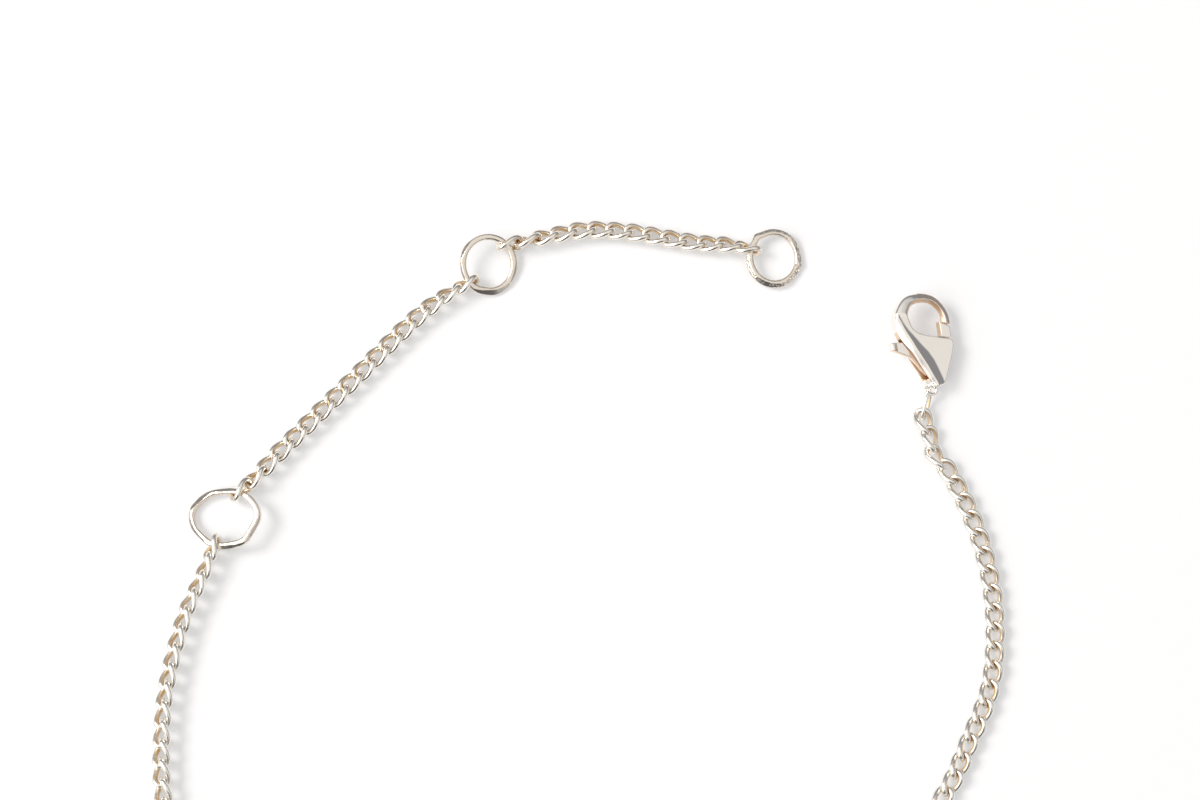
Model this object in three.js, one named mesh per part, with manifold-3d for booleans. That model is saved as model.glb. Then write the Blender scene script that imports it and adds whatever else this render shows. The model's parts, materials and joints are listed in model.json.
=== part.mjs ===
import * as THREE from 'three';
import { mergeVertices } from 'three/addons/utils/BufferGeometryUtils.js';
import Module from 'manifold-3d';

// An adjustable silver curb-chain bracelet, laid open on a table, in millimetres.
// A lobster clasp at one end of the chain hooks into any of three rings at the other end.
// +Z is up, z = 0 is the table, and the origin is the middle of the bracelet's footprint.

const wasm = await Module();
wasm.setup();

const degrees = Math.PI / 180;

// The curb link is an oval of round wire whose two ends are twisted against each other.
const link = {
	halfLength: 1.025,
	halfWidth: 0.68,
	fullness: 2.5,
	endTwist: -42 * degrees,
	wireRadius: 0.225,
	steps: 10,
	sides: 5,
};
// The straight end step of a link lies this far from its middle.
const linkTip = link.halfLength * Math.cos(Math.PI / link.steps) ** (2 / link.fullness);
// The usual distance from one link's middle to the next.
const pitch = 1.575;
// How far a ring's wire lies from the middle of the link that holds it.
const ringReach = 0.31;
// How far the last link's middle lies from the wire of the jump ring.
const jumpReach = 0.3;
// The clear gap between two pieces that hang in each other.
const looseGap = 0.06;
// The height that a leaning ring keeps above the table.
const restMargin = 0.02;

// The three rings that the clasp can take. Each leans on the table on one side.
// radiusX, radiusY: the oval of the wire's middle. wide, tall: the wire's own section.
// leanAxis: the direction, in degrees, of the line that the ring leans about.
// chains: how many chains hold the ring up at that line's ends or beside it.
const ringSizes = {
	end: { x: 16.2, y: 28.2, radiusX: 2.03, radiusY: 2.18, wide: 0.56, tall: 0.58, leanAxis: 71, chains: 1 },
	middle: { x: -7.75, y: 27.6, radiusX: 2.14, radiusY: 2.27, wide: 0.5, tall: 0.52, leanAxis: 46, chains: 2 },
	third: { x: -29.3, y: 6.2, radiusX: 2.76, radiusY: 2.3, wide: 0.46, tall: 0.6, leanAxis: 246, chains: 2 },
};
const ringSteps = 20;
const ringSides = 6;

// Dents of the rings: how far the wire is knocked out (+) or in (-) near a direction.
const dents = {
	end: [
		{ angle: 128, spread: 10, out: 0.1 },
		{ angle: -15, spread: 8, out: 0.07 },
	],
	middle: [
		{ angle: -95, spread: 16, out: -0.1 },
	],
	third: [
		{ angle: 168, spread: 16, out: 0.14 },
		{ angle: 95, spread: 22, out: -0.1 },
		{ angle: -50, spread: 14, out: 0.12 },
		{ angle: -22, spread: 12, out: -0.06 },
		{ angle: 218, spread: 20, out: -0.14 },
		{ angle: 8, spread: 12, out: 0.06 },
	],
};

// Where each chain leaves and meets a ring, in degrees round the ring.
const holds = { end: 161, middleRight: 47, middleLeft: 225, thirdTop: 61, thirdBottom: 250 };

// The chains' routes between those places. roll: the chain's turn about its own line.
const outerRoute = [
	{ x: 12.5, y: 29.25, roll: 45 },
	{ x: 9.8, y: 29.45, roll: 30 },
	{ x: 7.0, y: 29.9, roll: 30 },
	{ x: 3.45, y: 30.5, roll: 30 },
	{ x: 0.35, y: 30.6, roll: 30 },
	{ x: -3.0, y: 29.95, roll: 50 },
];
const innerRoute = [
	{ x: -11.05, y: 25.05, roll: 50 },
	{ x: -13.25, y: 23.45, roll: 25 },
	{ x: -19.3, y: 17.4, roll: 20 },
	{ x: -24.85, y: 11.75, roll: 45 },
];
const mainRoute = [
	{ x: -31.0, y: 1.5, roll: 55 },
	{ x: -32.4, y: -1.9, roll: 45 },
	{ x: -33.7, y: -7.6, roll: 45 },
	{ x: -34.03, y: -11.65, roll: 40 },
	{ x: -33.75, y: -16.3, roll: 35 },
	{ x: -32.6, y: -20.5, roll: 30 },
	{ x: -29.5, y: -25.0, roll: 25 },
	{ x: -23.5, y: -28.7, roll: 20 },
	{ x: -14, y: -30.25, roll: 20 },
	{ x: -2, y: -30.42, roll: 20 },
	{ x: 10, y: -28.6, roll: 20 },
	{ x: 19, y: -25.2, roll: 20 },
	{ x: 25.3, y: -21.0, roll: 20 },
	{ x: 29.4, y: -16.5, roll: 20 },
	{ x: 31.6, y: -12.05, roll: 15 },
	{ x: 33.35, y: -7.85, roll: 10 },
	{ x: 33.95, y: -3.45, roll: 10 },
	{ x: 33.6, y: 1.4, roll: 10 },
	{ x: 32.4, y: 5.85, roll: 10 },
	{ x: 30.4, y: 10.1, roll: 15 },
	{ x: 29.35, y: 11.35, roll: 40 },
	{ x: 28.97, y: 12.85, roll: 40 },
];
// The links that hold a ring stand almost on edge. The last link lies nearly flat.
const ringRoll = { start: 71, end: 109 };
const lastRoll = 19;

// The lobster clasp, in its own flat frame: v runs from the tail to the hook, u to the gate side.
const clasp = {
	x: 29.05,
	y: 17.0,
	turn: 8.3 * degrees,
	lean: 15 * degrees,
	dip: 6 * degrees,
	thickness: 2.0,
	bevel: 0.32,
	leverThickness: 0.6,
	pivotU: 0.6,
	pivotV: 2.6,
	pinRadius: 0.3,
	pinLength: 1.2,
	gateReach: 2.95,
	eyeletRadius: 0.44,
	eyeletWire: 0.17,
	eyeletU: 0.02,
	eyeletV: -0.17,
};

// The slot between the cheeks. Beside the spine it stays lower, where the hook's bar is solid.
const slot = { width: 0.75, bottom: 0.8, spineTop: 4.35, spineU: -0.85, top: 4.95, topU: -0.25, beyond: 4 };

// Each cheek has a ridge along the spine. From there it slopes down to the flat part on the gate side.
// flat: the flat part's height above the clasp's middle plane. top, tail: the ridge's height above that.
const ridge = { topU: -2.2, topV: 4.75, tailU: -0.4, tailV: 0.25, flat: 0.76, top: 0.1, tail: 0.24, slope: 0.3 };

// The clasp's two cheeks, from the tail up the spine side and down the gate side.
const cheekOutline = [
	{ u: -0.4, v: 0.25 },
	{ u: -0.85, v: 1.4 },
	{ u: -1.35, v: 2.7 },
	{ u: -1.95, v: 4.1 },
	{ u: -2.2, v: 4.75 },
	{ u: -1.75, v: 5.1 },
	{ u: -1.05, v: 5.0 },
	{ u: -0.55, v: 4.65 },
	{ u: 0.1, v: 4.42 },
	{ u: 1.3, v: 4.15 },
	{ u: 2.5, v: 3.85 },
	{ u: 2.45, v: 3.3 },
	{ u: 2.05, v: 2.2 },
	{ u: 1.5, v: 1.1 },
	{ u: 0.95, v: 0.25 },
];

// The clasp's hook, from inside the cheeks round to its tip by the gate.
const hookPath = [
	{ u: -1.1, v: 3.5, wide: 1.0, thick: 1.5 },
	{ u: -1.5, v: 4.5, wide: 1.35, thick: 1.7 },
	{ u: -1.75, v: 5.4, wide: 1.32, thick: 1.5 },
	{ u: -1.75, v: 6.4, wide: 1.2, thick: 1.3 },
	{ u: -1.13, v: 7.3, wide: 1.0, thick: 1.1 },
	{ u: 0.06, v: 7.6, wide: 0.8, thick: 0.92 },
	{ u: 1.12, v: 7.35, wide: 0.72, thick: 0.8 },
	{ u: 1.83, v: 6.65, wide: 0.7, thick: 0.75 },
	{ u: 2.15, v: 5.9, wide: 0.72, thick: 0.75 },
	{ u: 2.2, v: 5.1, wide: 0.84, thick: 0.84 },
];
const hook = { steps: 16, sides: 8 };

// The lever: the thumb tab, the part round the pivot and the gate's two sides.
const leverOutline = [
	{ u: 1.5, v: 4.4 },
	{ u: 0.9, v: 3.7 },
	{ u: -0.4, v: 3.75 },
	{ u: -1.5, v: 3.95 },
	{ u: -2.2, v: 4.0 },
	{ u: -3.05, v: 4.12 },
	{ u: -2.92, v: 3.5 },
	{ u: -2.1, v: 3.28 },
	{ u: -1.36, v: 2.95 },
	{ u: -0.85, v: 2.35 },
	{ u: -0.5, v: 1.65 },
	{ u: 0.1, v: 1.35 },
	{ u: 0.8, v: 1.4 },
	{ u: 1.4, v: 2.0 },
	{ u: 1.9, v: 3.0 },
	{ u: 2.4, v: 3.9 },
];
// The gate's two sides, and the wedge about the pivot that is kept clear of the hook for it.
const gate = { innerU: 1.5, outerU: 2.5, sweepFrom: 20 * degrees, sweepTo: 80 * degrees };

const silver = { color: 0xe4e0da, roughness: 0.18, metalness: 1.0 };

// A closed mesh becomes a manifold solid.
function solidOf(geometry) {
	const bare = geometry.clone();
	bare.deleteAttribute('normal');
	bare.deleteAttribute('uv');
	const merged = mergeVertices(bare, 1e-5);
	const vertProperties = new Float32Array(merged.attributes.position.array);
	const triVerts = new Uint32Array(merged.index.array);
	return new wasm.Manifold(new wasm.Mesh({ numProp: 3, vertProperties, triVerts }));
}

// A manifold solid becomes a mesh again.
function geometryOf(solid) {
	const mesh = solid.getMesh();
	const geometry = new THREE.BufferGeometry();
	geometry.setAttribute('position', new THREE.BufferAttribute(new Float32Array(mesh.vertProperties), 3));
	geometry.setIndex(new THREE.BufferAttribute(new Uint32Array(mesh.triVerts), 1));
	geometry.computeVertexNormals();
	return geometry;
}

function named(name, geometry) {
	const mesh = new THREE.Mesh(geometry, new THREE.MeshStandardMaterial(silver));
	mesh.name = name;
	return mesh;
}

// A skin over rings of points. A closed loop joins its last ring to its first, any other gets ends.
function skin(sections, closed) {
	const sides = sections[0].length;
	const positions = sections.flat().flatMap((point) => point.toArray());
	const faces = [];
	const spans = closed ? sections.length : sections.length - 1;
	for (let i = 0; i < spans; i++) {
		const next = (i + 1) % sections.length;
		for (let k = 0; k < sides; k++) {
			const after = (k + 1) % sides;
			const [a, b] = [i * sides + k, i * sides + after];
			const [c, d] = [next * sides + after, next * sides + k];
			faces.push(a, b, c, a, c, d);
		}
	}
	for (let k = 1; !closed && k < sides - 1; k++) {
		const last = (sections.length - 1) * sides;
		faces.push(0, k + 1, k, last, last + k, last + k + 1);
	}
	const geometry = new THREE.BufferGeometry();
	geometry.setAttribute('position', new THREE.Float32BufferAttribute(positions, 3));
	geometry.setIndex(faces);
	return geometry;
}

// The middle line of a curb link, along X, as a full oval that twists from end to end.
class CurbLinkCurve extends THREE.Curve {

	getPoint(t, target = new THREE.Vector3()) {
		const angle = 2 * Math.PI * t;
		const along = superCosine(angle, link.fullness);
		const across = link.halfWidth * superCosine(angle - Math.PI / 2, link.fullness);
		const twist = link.endTwist * along;
		return target.set(link.halfLength * along, across * Math.cos(twist), across * Math.sin(twist));
	}

}

function superCosine(angle, fullness) {
	const cosine = Math.cos(angle);
	return Math.sign(cosine) * Math.abs(cosine) ** (2 / fullness);
}

// One link. Each end is one straight step, and the wire's section has a corner facing inward.
function linkGeometry() {
	const curve = new CurbLinkCurve();
	const sections = [];
	for (let i = 0; i < link.steps; i++) {
		const point = curve.getPoint((i + 0.5) / link.steps);
		const tangent = curve.getTangent((i + 0.5) / link.steps);
		const inward = point.clone().negate().projectOnPlane(tangent).normalize();
		const side = new THREE.Vector3().crossVectors(tangent, inward);
		sections.push(sectionPoints(point, inward, side, link.wireRadius, link.wireRadius, link.sides, 0));
	}
	return skin(sections, true);
}

function sectionPoints(middle, axisA, axisB, sizeA, sizeB, sides, offset) {
	const points = [];
	for (let k = 0; k < sides; k++) {
		const angle = 2 * Math.PI * (k + offset) / sides;
		const point = middle.clone();
		point.addScaledVector(axisA, sizeA * Math.cos(angle));
		point.addScaledVector(axisB, sizeB * Math.sin(angle));
		points.push(point);
	}
	return points;
}

// The height of a rolled link's middle when its lowest wire touches the table.
function restHeight(roll) {
	const curve = new CurbLinkCurve();
	let reach = 0;
	for (const point of curve.getPoints(72)) {
		const height = point.y * Math.sin(roll) + point.z * Math.cos(roll);
		reach = Math.max(reach, Math.abs(height));
	}
	return reach + link.wireRadius;
}

// A ring lies with the chain's wire holding it up, and leans down to the table on one side.
const heldHeight = restHeight(ringRoll.start * degrees) + restMargin;

function ringRadius(name, angle) {
	const { radiusX, radiusY } = ringSizes[name];
	const oval = radiusX * radiusY / Math.hypot(radiusY * Math.cos(angle), radiusX * Math.sin(angle));
	let radius = oval;
	for (const dent of dents[name]) {
		const away = THREE.MathUtils.euclideanModulo(angle / degrees - dent.angle + 180, 360) - 180;
		radius += dent.out * Math.exp(-((away / dent.spread) ** 2));
	}
	return radius;
}

function ringGeometry(name) {
	const { wide, tall } = ringSizes[name];
	const down = new THREE.Vector3(0, 0, -1);
	const sections = [];
	for (let i = 0; i < ringSteps; i++) {
		const angle = 2 * Math.PI * i / ringSteps;
		const outward = new THREE.Vector3(Math.cos(angle), Math.sin(angle), 0);
		const middle = outward.clone().multiplyScalar(ringRadius(name, angle));
		sections.push(sectionPoints(middle, outward, down, wide / Math.sqrt(3), tall / 2, ringSides, 0.5));
	}
	return skin(sections, true);
}

// A ring between two chains leans about its middle. One on a single chain leans from its held edge.
function ringMesh(name, meshName) {
	const { x, y, radiusX, tall, leanAxis, chains } = ringSizes[name];
	const mesh = named(meshName, ringGeometry(name));
	const drop = heldHeight - tall / 2 - restMargin;
	const lean = Math.asin(chains * drop / (2 * radiusX));
	const axis = new THREE.Vector3(Math.cos(leanAxis * degrees), Math.sin(leanAxis * degrees), 0);
	mesh.quaternion.setFromAxisAngle(axis, lean);
	mesh.position.set(x, y, heldHeight - (2 - chains) * drop / 2);
	mesh.updateMatrixWorld();
	return mesh;
}

// The point of a ring's middle line in the given direction.
function ringPoint(mesh, name, angle) {
	const radius = ringRadius(name, angle * degrees);
	const point = new THREE.Vector3(Math.cos(angle * degrees), Math.sin(angle * degrees), 0);
	return mesh.localToWorld(point.multiplyScalar(radius));
}

// A route from row to row, which gives a place, a direction and a roll for each distance along it.
function routeThrough(rows) {
	const curve = new THREE.CatmullRomCurve3(rows.map((row) => new THREE.Vector3(row.x, row.y, 0)));
	curve.arcLengthDivisions = 2000;
	const length = curve.getLength();
	function placeAt(distance) {
		const t = curve.getUtoTmapping(distance / length);
		const span = Math.min(Math.floor(t * (rows.length - 1)), rows.length - 2);
		const part = t * (rows.length - 1) - span;
		const roll = THREE.MathUtils.lerp(rows[span].roll, rows[span + 1].roll, part) * degrees;
		return { point: curve.getPoint(t), direction: curve.getTangent(t), roll };
	}
	return { length, placeAt };
}

// The frame of a link at a distance along a route.
function linkFrame(route, distance) {
	const { point, direction, roll } = route.placeAt(distance);
	const up = new THREE.Vector3(0, 0, 1);
	const side = new THREE.Vector3().crossVectors(up, direction);
	const frame = new THREE.Matrix4().makeBasis(direction, side, up);
	frame.multiply(new THREE.Matrix4().makeRotationX(roll));
	frame.setPosition(point.x, point.y, restHeight(roll));
	return frame;
}

// A run of links, each joined to the next where their wires press together.
function chainMesh(name, route, firstDistance, lastDistance, count) {
	const step = (lastDistance - firstDistance) / (count - 1);
	let chain = null;
	for (let i = 0; i < count; i++) {
		const frame = linkFrame(route, firstDistance + i * step);
		const piece = solidOf(linkGeometry().applyMatrix4(frame));
		chain = chain ? chain.add(piece) : piece;
	}
	return named(name, geometryOf(chain));
}

function countFor(distance) {
	return Math.round(distance / pitch) + 1;
}

function flatShape(rows) {
	return new THREE.Shape(rows.map((row) => new THREE.Vector2(row.u, row.v)));
}

// A flat plate of a shape, centred on the clasp's middle plane.
function plate(shape, thickness, bevel) {
	const geometry = new THREE.ExtrudeGeometry(shape, {
		depth: thickness - 2 * bevel,
		bevelEnabled: bevel > 0,
		bevelThickness: bevel,
		bevelSize: bevel,
		bevelOffset: -bevel,
		bevelSegments: 1,
		curveSegments: 8,
	});
	return geometry.translate(0, 0, bevel - thickness / 2);
}

// The hook's bar, with an oval section that grows towards the spine.
function hookGeometry() {
	const curve = new THREE.CatmullRomCurve3(hookPath.map((row) => new THREE.Vector3(row.u, row.v, 0)));
	const across = new THREE.Vector3(0, 0, 1);
	const sections = [];
	for (let i = 0; i <= hook.steps; i++) {
		const t = i / hook.steps;
		const row = Math.min(Math.floor(t * (hookPath.length - 1)), hookPath.length - 2);
		const part = t * (hookPath.length - 1) - row;
		const wide = THREE.MathUtils.lerp(hookPath[row].wide, hookPath[row + 1].wide, part);
		const thick = THREE.MathUtils.lerp(hookPath[row].thick, hookPath[row + 1].thick, part);
		const side = new THREE.Vector3().crossVectors(across, curve.getTangent(t));
		sections.push(sectionPoints(curve.getPoint(t), side, across, wide / 2, thick / 2, hook.sides, 0.5));
	}
	return skin(sections, false);
}

// The wedge round the pivot that the gate's end sweeps through, with its gap.
function sweepShape() {
	const shape = new THREE.Shape();
	shape.moveTo(clasp.pivotU, clasp.pivotV);
	shape.absarc(clasp.pivotU, clasp.pivotV, clasp.gateReach + looseGap, gate.sweepFrom, gate.sweepTo);
	shape.closePath();
	return shape;
}

function slotShape() {
	return flatShape([
		{ u: -slot.beyond, v: slot.bottom },
		{ u: slot.beyond, v: slot.bottom },
		{ u: slot.beyond, v: slot.top },
		{ u: slot.topU, v: slot.top },
		{ u: slot.spineU, v: slot.spineTop },
		{ u: -slot.beyond, v: slot.spineTop },
	]);
}

// A short round bar across the clasp, at the pivot.
function pivotCylinder(radius, length) {
	const cylinder = new THREE.CylinderGeometry(radius, radius, length, 12);
	return cylinder.rotateX(Math.PI / 2).translate(clasp.pivotU, clasp.pivotV, 0);
}

// Cuts a solid off above a sloping plane on both faces of the clasp: w = height + riseU * u + riseV * v.
function cutAbove(solid, height, riseU, riseV) {
	return solid.trimByPlane([riseU, riseV, -1], -height).trimByPlane([riseU, riseV, 1], -height);
}

// The two cheeks as one solid: what is left under the flat plane, joined to what is left under the slope.
function cheeksSolid() {
	const along = new THREE.Vector2(ridge.tailU - ridge.topU, ridge.tailV - ridge.topV);
	const rise = (ridge.tail - ridge.top) / along.length();
	along.normalize();
	const inward = new THREE.Vector2(-along.y, along.x);
	const riseU = rise * along.x - ridge.slope * inward.x;
	const riseV = rise * along.y - ridge.slope * inward.y;
	const start = ridge.flat + ridge.top + ridge.slope * clasp.bevel;
	const height = start - riseU * ridge.topU - riseV * ridge.topV;
	const whole = solidOf(plate(flatShape(cheekOutline), clasp.thickness, clasp.bevel));
	return cutAbove(whole, ridge.flat, 0, 0).add(cutAbove(whole, height, riseU, riseV));
}

function claspBodyGeometry() {
	const hookBar = solidOf(hookGeometry()).subtract(solidOf(plate(sweepShape(), clasp.thickness, 0)));
	const slotSpace = solidOf(plate(slotShape(), slot.width, 0));
	const pinHole = solidOf(pivotCylinder(clasp.pinRadius + looseGap, clasp.pinLength + 2 * looseGap));
	const torus = new THREE.TorusGeometry(clasp.eyeletRadius, clasp.eyeletWire, 6, 14);
	const eyelet = solidOf(torus.translate(clasp.eyeletU, clasp.eyeletV, 0));
	return geometryOf(cheeksSolid().add(hookBar).subtract(slotSpace).subtract(pinHole).add(eyelet));
}

function leverGeometry() {
	const shape = new THREE.Shape();
	const gateAngle = (u) => Math.acos((u - clasp.pivotU) / clasp.gateReach);
	shape.absarc(clasp.pivotU, clasp.pivotV, clasp.gateReach, gateAngle(gate.outerU), gateAngle(gate.innerU));
	for (const row of leverOutline) {
		shape.lineTo(row.u, row.v);
	}
	shape.closePath();
	const body = solidOf(plate(shape, clasp.leverThickness, 0));
	const hole = solidOf(pivotCylinder(clasp.pinRadius + looseGap, clasp.thickness));
	return geometryOf(body.subtract(hole));
}

// The jump ring is a tall oval on edge, from the clasp's eyelet to the last link.
const jump = { halfLength: 1.2, halfHeight: 0.5, wire: 0.165, steps: 16 };

function jumpGeometry() {
	const sections = [];
	const side = new THREE.Vector3(0, -1, 0);
	for (let i = 0; i < jump.steps; i++) {
		const angle = 2 * Math.PI * i / jump.steps;
		const middle = new THREE.Vector3(jump.halfLength * Math.cos(angle), 0, jump.halfHeight * Math.sin(angle));
		const outward = new THREE.Vector3(Math.cos(angle) / jump.halfLength, 0, Math.sin(angle) / jump.halfHeight);
		sections.push(sectionPoints(middle, outward.normalize(), side, -jump.wire, jump.wire, 6, 0));
	}
	return skin(sections, true);
}

// The clasp lies on the table on its gate side, with its spine a little up and its tail down.
const claspGroup = new THREE.Group();
claspGroup.add(named('clasp_body', claspBodyGeometry()));
claspGroup.add(named('clasp_lever', leverGeometry()));
claspGroup.add(named('lever_pin', pivotCylinder(clasp.pinRadius, clasp.pinLength)));
claspGroup.rotation.set(clasp.dip, clasp.lean, clasp.turn, 'ZXY');
claspGroup.position.set(clasp.x, clasp.y, 0);
claspGroup.updateMatrixWorld();
const claspBox = new THREE.Box3().setFromObject(claspGroup, true);
claspGroup.position.z = -claspBox.min.z;
claspGroup.updateMatrixWorld();

const endRing = ringMesh('end', 'end_ring');
const middleRing = ringMesh('middle', 'middle_ring');
const thirdRing = ringMesh('third', 'third_ring');

// The jump ring reaches from the eyelet's lower edge to the end of the main chain.
const eyeletAngle = 235 * degrees;
const eyeletPoint = claspGroup.localToWorld(new THREE.Vector3(
	clasp.eyeletU + clasp.eyeletRadius * Math.cos(eyeletAngle),
	clasp.eyeletV + clasp.eyeletRadius * Math.sin(eyeletAngle),
	0,
));
const chainEnd = new THREE.Vector3(28.52, 14.9, restHeight(lastRoll * degrees));
const jumpLine = chainEnd.clone().sub(eyeletPoint).normalize();
const eyeletReach = jump.halfLength - jump.wire - clasp.eyeletWire - looseGap;
const jumpMiddle = eyeletPoint.clone().addScaledVector(jumpLine, eyeletReach);
const jumpSide = new THREE.Vector3(0, 0, 1).cross(jumpLine).normalize();
const jumpUp = new THREE.Vector3().crossVectors(jumpLine, jumpSide);
const jumpRing = named('jump_ring', jumpGeometry());
jumpRing.quaternion.setFromRotationMatrix(new THREE.Matrix4().makeBasis(jumpLine, jumpSide, jumpUp));
jumpRing.position.copy(jumpMiddle);
const jumpWire = jumpMiddle.clone().addScaledVector(jumpLine, jump.halfLength);

function rowAt(point, roll) {
	return { x: point.x, y: point.y, roll };
}

const outerLine = routeThrough([
	rowAt(ringPoint(endRing, 'end', holds.end), ringRoll.start),
	...outerRoute,
	rowAt(ringPoint(middleRing, 'middle', holds.middleRight), ringRoll.end),
]);
const innerLine = routeThrough([
	rowAt(ringPoint(middleRing, 'middle', holds.middleLeft), ringRoll.start),
	...innerRoute,
	rowAt(ringPoint(thirdRing, 'third', holds.thirdTop), ringRoll.end),
]);
const mainLine = routeThrough([
	rowAt(ringPoint(thirdRing, 'third', holds.thirdBottom), ringRoll.start),
	...mainRoute,
	rowAt(jumpWire, lastRoll),
]);

const outerCount = countFor(outerLine.length - 2 * ringReach);
const innerCount = countFor(innerLine.length - 2 * ringReach);
const mainStart = ringReach;
const mainEnd = mainLine.length - jumpReach;
const seamStep = 2 * linkTip - 2 * link.wireRadius - looseGap;
const mainCount = countFor(mainEnd - mainStart - seamStep + pitch);
const mainStep = (mainEnd - mainStart - seamStep) / (mainCount - 2);
const leftCount = Math.floor(mainCount / 2);
const leftEnd = mainStart + (leftCount - 1) * mainStep;

const bracelet = new THREE.Group();
bracelet.add(endRing);
bracelet.add(chainMesh('outer_extension_chain', outerLine, ringReach, outerLine.length - ringReach, outerCount));
bracelet.add(middleRing);
bracelet.add(chainMesh('inner_extension_chain', innerLine, ringReach, innerLine.length - ringReach, innerCount));
bracelet.add(thirdRing);
bracelet.add(chainMesh('main_chain_ring_side', mainLine, mainStart, leftEnd, leftCount));
bracelet.add(chainMesh('main_chain_clasp_side', mainLine, leftEnd + seamStep, mainEnd, mainCount - leftCount));
bracelet.add(jumpRing);
bracelet.add(claspGroup);

export default bracelet;
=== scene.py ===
import json
import math

import bmesh
import bpy
from mathutils import Matrix, Vector, noise


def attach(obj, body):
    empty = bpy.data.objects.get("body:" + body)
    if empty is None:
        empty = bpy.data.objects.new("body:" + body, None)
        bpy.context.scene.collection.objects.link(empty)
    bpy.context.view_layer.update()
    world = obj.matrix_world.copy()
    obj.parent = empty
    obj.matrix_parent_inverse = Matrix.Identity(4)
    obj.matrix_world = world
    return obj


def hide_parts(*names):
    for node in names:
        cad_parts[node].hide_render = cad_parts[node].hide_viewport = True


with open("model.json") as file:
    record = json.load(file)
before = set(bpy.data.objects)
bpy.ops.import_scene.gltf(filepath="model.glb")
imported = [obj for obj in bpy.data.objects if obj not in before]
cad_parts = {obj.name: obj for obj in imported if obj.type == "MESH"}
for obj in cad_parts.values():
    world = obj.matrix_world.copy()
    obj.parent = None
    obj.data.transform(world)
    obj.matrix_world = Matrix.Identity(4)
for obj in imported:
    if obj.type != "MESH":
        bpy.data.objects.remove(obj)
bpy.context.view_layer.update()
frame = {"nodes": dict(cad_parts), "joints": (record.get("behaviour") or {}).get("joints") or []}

# A silver curb-chain bracelet with a lobster clasp, laid open on a pale table.
# Everything is worked out in millimetres, x to the right, y away from the viewer, z up from the table,
# and each finished mesh is then brought to metres.

millimetre = 0.001
looseGap = 0.06  # between pieces that hang in each other
restMargin = 0.045  # between a leaning ring and the table


def linearColour(hexText):
    parts = [int(hexText[i:i + 2], 16) / 255 for i in (1, 3, 5)]
    return [p / 12.92 if p <= 0.04045 else ((p + 0.055) / 1.055) ** 2.4 for p in parts] + [1.0]


def addNode(tree, kind, settings=None, links=None):
    # an input takes a plain value, another node's output, or the first output of the node that is given
    node = tree.nodes.new(kind)
    for name, value in (settings or {}).items():
        setattr(node, name, value)
    for socket, value in (links or {}).items():
        if isinstance(value, bpy.types.Node):
            value = value.outputs[0]
        if isinstance(value, bpy.types.NodeSocket):
            tree.links.new(value, node.inputs[socket])
        else:
            node.inputs[socket].default_value = value
    return node


# cloud: how the film gathers, from where its noise starts to count to where it is full. mark: the rub marks.
silverPattern = {"cloudDetail": 4.0, "cloudFrom": 0.35, "cloudFull": 0.7, "thinnest": 0.55, "thickest": 1.0,
                 "markDetail": 3.0, "markFrom": 0.3, "markFull": 0.75}


def makeSilver(name, finish):
    material = bpy.data.materials.new(name)
    material.use_nodes = True
    tree = material.node_tree
    tree.nodes.clear()
    place = addNode(tree, "ShaderNodeTexCoord").outputs["Object"]
    perMillimetre = addNode(tree, "ShaderNodeVectorMath", {"operation": "SCALE"},
                            {0: place, "Scale": 1 / millimetre})
    cloud = addNode(tree, "ShaderNodeTexNoise", None,
                    {"Vector": perMillimetre, "Scale": 1 / finish["cloudSize"],
                     "Detail": silverPattern["cloudDetail"]})
    # each point's share of the warm colour: real film, plus painted shade where the faces look inward
    filmAndShadeMask = addNode(tree, "ShaderNodeAttribute", {"attribute_name": "film_and_shade"})
    film = addNode(tree, "ShaderNodeMapRange", None,
                   {0: cloud.outputs["Fac"], 1: silverPattern["cloudFrom"], 2: silverPattern["cloudFull"],
                    3: silverPattern["thinnest"], 4: silverPattern["thickest"]})
    filmAndShadeSpread = addNode(tree, "ShaderNodeMath", {"operation": "MULTIPLY", "use_clamp": True},
                        {0: film, 1: filmAndShadeMask.outputs["Fac"]})
    filmAndShadeAmount = addNode(tree, "ShaderNodeMath", {"operation": "MULTIPLY"},
                         {0: filmAndShadeSpread, 1: finish["filmAndShadeStrength"]})
    # the warm colour is part tarnish and part painted shade in the hollows
    colour = addNode(tree, "ShaderNodeMix", {"data_type": "RGBA"},
                     {0: filmAndShadeAmount, 6: linearColour(finish["clean"]), 7: linearColour(finish["filmAndShadeColour"])})
    # fine rub marks
    grain = addNode(tree, "ShaderNodeTexNoise", None,
                    {"Vector": perMillimetre, "Scale": 1 / finish["grainSize"],
                     "Detail": silverPattern["markDetail"]})
    roughness = addNode(tree, "ShaderNodeMapRange", None,
                        {0: grain.outputs["Fac"], 1: silverPattern["markFrom"], 2: silverPattern["markFull"],
                         3: finish["smooth"], 4: finish["rubbed"]})
    dulled = addNode(tree, "ShaderNodeMath", {"operation": "MULTIPLY_ADD"},
                     {0: filmAndShadeAmount, 1: finish["filmDulls"], 2: roughness})
    bump = addNode(tree, "ShaderNodeBump", None,
                   {"Strength": finish["bump"], "Distance": finish["bumpDepth"] * millimetre,
                    "Height": grain.outputs["Fac"]})
    shader = addNode(tree, "ShaderNodeBsdfPrincipled", None,
                     {"Base Color": colour.outputs[2], "Metallic": 1.0, "Roughness": dulled, "Normal": bump})
    addNode(tree, "ShaderNodeOutputMaterial", None, {"Surface": shader})
    return material


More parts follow.
